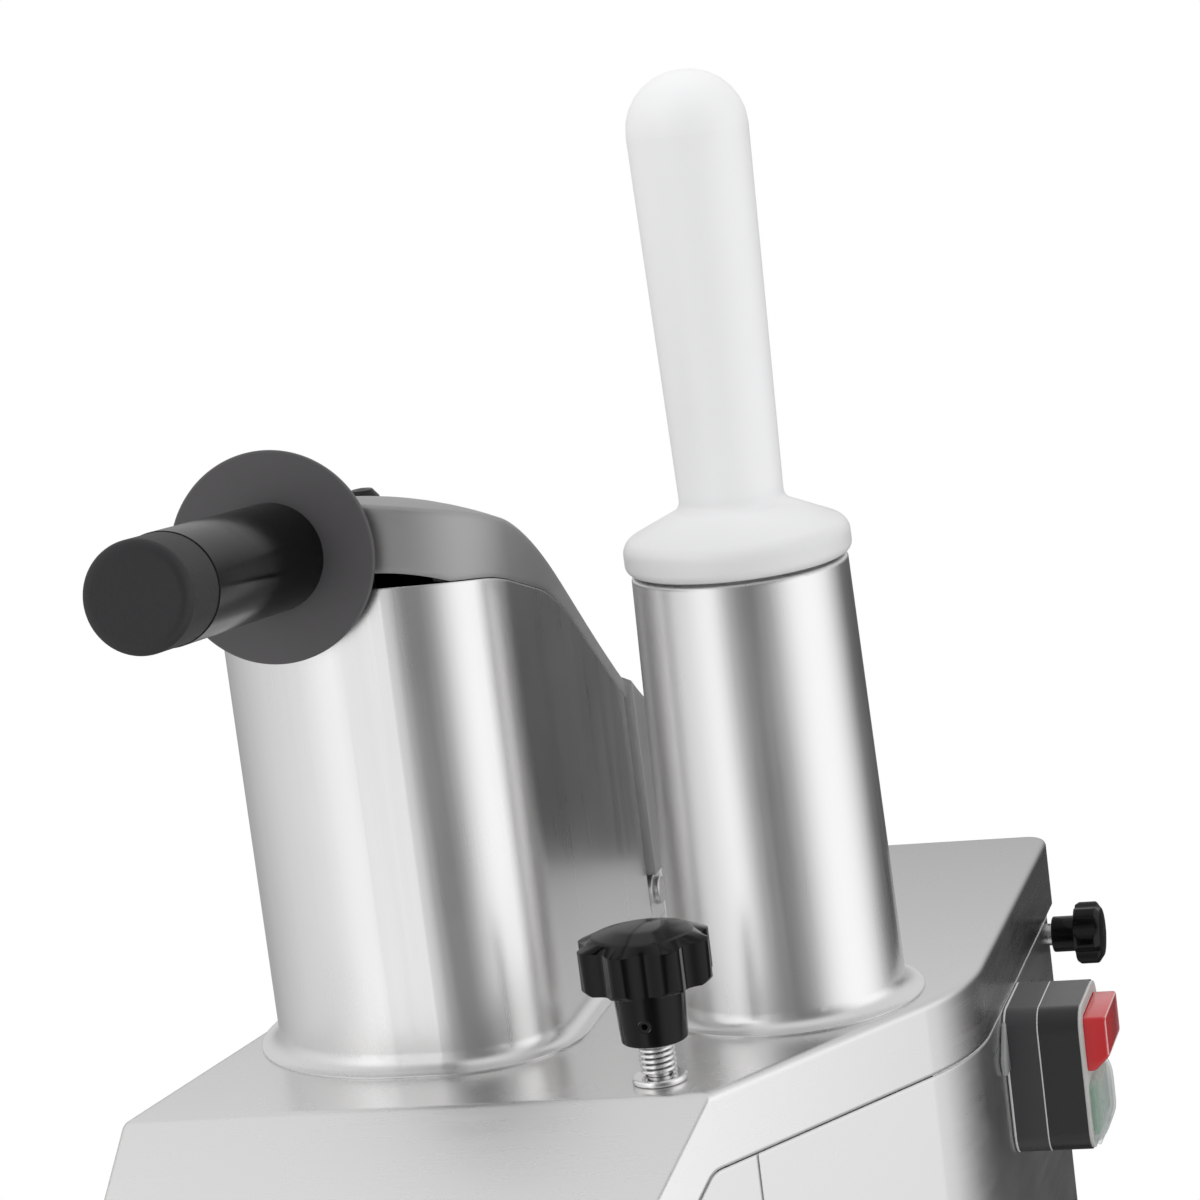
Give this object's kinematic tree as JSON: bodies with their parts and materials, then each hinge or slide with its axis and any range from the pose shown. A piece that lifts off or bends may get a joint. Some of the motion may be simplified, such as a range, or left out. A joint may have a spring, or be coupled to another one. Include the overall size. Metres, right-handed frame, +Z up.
{
  "type": "vegetable cutting machine",
  "caption": "Sloped cast-metal cutting machine with a hinged lid, a pressing lever over a hopper, a feed tube with a plastic pusher, a disc drive and a side switch.",
  "frame": {"origin": "middle of the whole machine seen from above, on the surface that its rubber feet stand on", "axes": "+Z up; +Y from the front, where the grip points and the food comes out, to the rear; +X to the side with the switch and the round feed tube"},
  "size_m": [0.3085, 0.5708, 0.5022],
  "materials": {
    "cast_aluminium": "satin polished casting",
    "steel": "brushed",
    "chrome": "bright plated",
    "cast_iron": "painted dark",
    "black_gloss": "gloss",
    "black_satin": "satin",
    "white_plastic": "satin, slightly translucent",
    "black_rubber": "matt",
    "clear_plastic": "clear",
    "pale_plastic": "satin",
    "red_plastic": "gloss",
    "green_plastic": "gloss"
  },
  "bodies": {
    "base": {"body_casting": "cast_aluminium", "chamber_casting": "cast_aluminium", "front_casting": "cast_aluminium", "base_plate": "steel", "rubber_feet": "black_rubber", "foot_screws": "steel", "bearing_housing": "cast_aluminium", "upper_bearing": "steel", "lower_bearing": "steel", "shaft_seal": "black_rubber", "housing_screws": "steel", "motor_plate": "steel", "plate_screws": "steel", "motor_casing": "cast_iron", "motor_stator": "cast_iron", "motor_end_cap": "cast_aluminium", "drive_belt": "black_rubber", "capacitor": "black_satin", "terminal_block": "white_plastic", "lid_safety_switch": "black_satin", "cable_gland": "black_satin", "gland_nut": "black_satin", "switch_back_box": "clear_plastic", "switch_core": "black_satin", "switch_housing": "black_satin", "switch_bezel": "pale_plastic", "switch_latch": "clear_plastic"},
    "lid": {"lid_casting": "cast_aluminium", "feed_hopper": "cast_aluminium", "feed_tube": "cast_aluminium", "lever_ears": "cast_aluminium", "lever_pivot_pin": "steel", "lock_washer": "chrome", "lock_spring": "chrome", "lid_magnet": "steel"},
    "lever": {"lever_hood": "cast_aluminium", "pusher_plate": "cast_aluminium", "grip_guard": "black_satin", "grip_sleeve": "black_gloss", "grip_end_cap": "black_satin", "lever_rod": "steel", "hood_cap": "black_gloss"},
    "pusher": {"feed_pusher": "white_plastic"},
    "lock_carrier": {"lock_collar": "steel"},
    "lock_knob": {"lock_star_knob": "black_gloss", "lock_stud": "steel", "lock_set_screw": "steel"},
    "side_pin": {"hinge_pin": "steel", "side_star_knob": "black_gloss"},
    "disc_unit": {"drive_shaft": "steel", "cutting_disc": "steel", "disc_blades": "steel", "disc_nut": "steel", "ejector_disc": "white_plastic", "large_pulley": "cast_iron"},
    "rotor": {"motor_rotor": "cast_iron", "small_pulley": "steel"},
    "stop_key": {"stop_button": "red_plastic"},
    "start_key": {"start_button": "green_plastic"},
    "cover": {"splash_cover": "clear_plastic"}
  },
  "joints": [
    {"name": "lid_open", "type": "hinge", "parent": "base", "child": "lid", "pos_m": [0.0584, 0.1381, 0.27805], "axis": [-1, 0, 0], "range_deg": [0, 75]},
    {"name": "lever_lift", "type": "hinge", "parent": "lid", "child": "lever", "pos_m": [0.0584, 0.06514, 0.28683], "axis": [-1, 0, 0], "range_deg": [0, 60]},
    {"name": "pusher_slide", "type": "slide", "parent": "lid", "child": "pusher", "axis": [0, -0.4695, 0.8829], "range_m": [0, 0.16]},
    {"name": "lock_rise", "type": "slide", "parent": "lid", "child": "lock_carrier", "axis": [0, -0.4695, 0.8829], "range_m": [0, 0.0076]},
    {"name": "lock_turn", "type": "hinge", "parent": "lock_carrier", "child": "lock_knob", "pos_m": [0.0325, -0.09801, 0.18875], "axis": [0, -0.4695, 0.8829], "range_deg": [0, 1800]},
    {"name": "side_knob_turn", "type": "hinge", "parent": "base", "child": "side_pin", "pos_m": [0.0584, 0.1381, 0.27805], "axis": [1, 0, 0], "continuous": true},
    {"name": "disc_spin", "type": "hinge", "parent": "base", "child": "disc_unit", "pos_m": [-0.0056, -0.00213, 0.23974], "axis": [0, -0.4695, 0.8829], "continuous": true},
    {"name": "motor_spin", "type": "hinge", "parent": "base", "child": "rotor", "pos_m": [0.0464, 0.06233, 0.27401], "axis": [0, -0.4695, 0.8829], "continuous": true},
    {"name": "stop_press", "type": "slide", "parent": "base", "child": "stop_key", "axis": [-1, 0, 0], "range_m": [0, 0.0025], "stiffness_N_per_m": 600, "springref_m": -0.001},
    {"name": "start_press", "type": "slide", "parent": "base", "child": "start_key", "axis": [-1, 0, 0], "range_m": [0, 0.0025], "stiffness_N_per_m": 600, "springref_m": -0.001},
    {"name": "cover_open", "type": "hinge", "parent": "base", "child": "cover", "pos_m": [0.1464, 0.01082, 0.16213], "axis": [0, 0.8829, 0.4695], "range_deg": [0, 95]}
  ],
  "couplings": [
    {"joint": "lock_rise", "follows": "lock_turn", "m_per_rad": 0.00023873},
    {"joint": "motor_spin", "follows": "disc_spin", "ratio": 5.2}
  ]
}
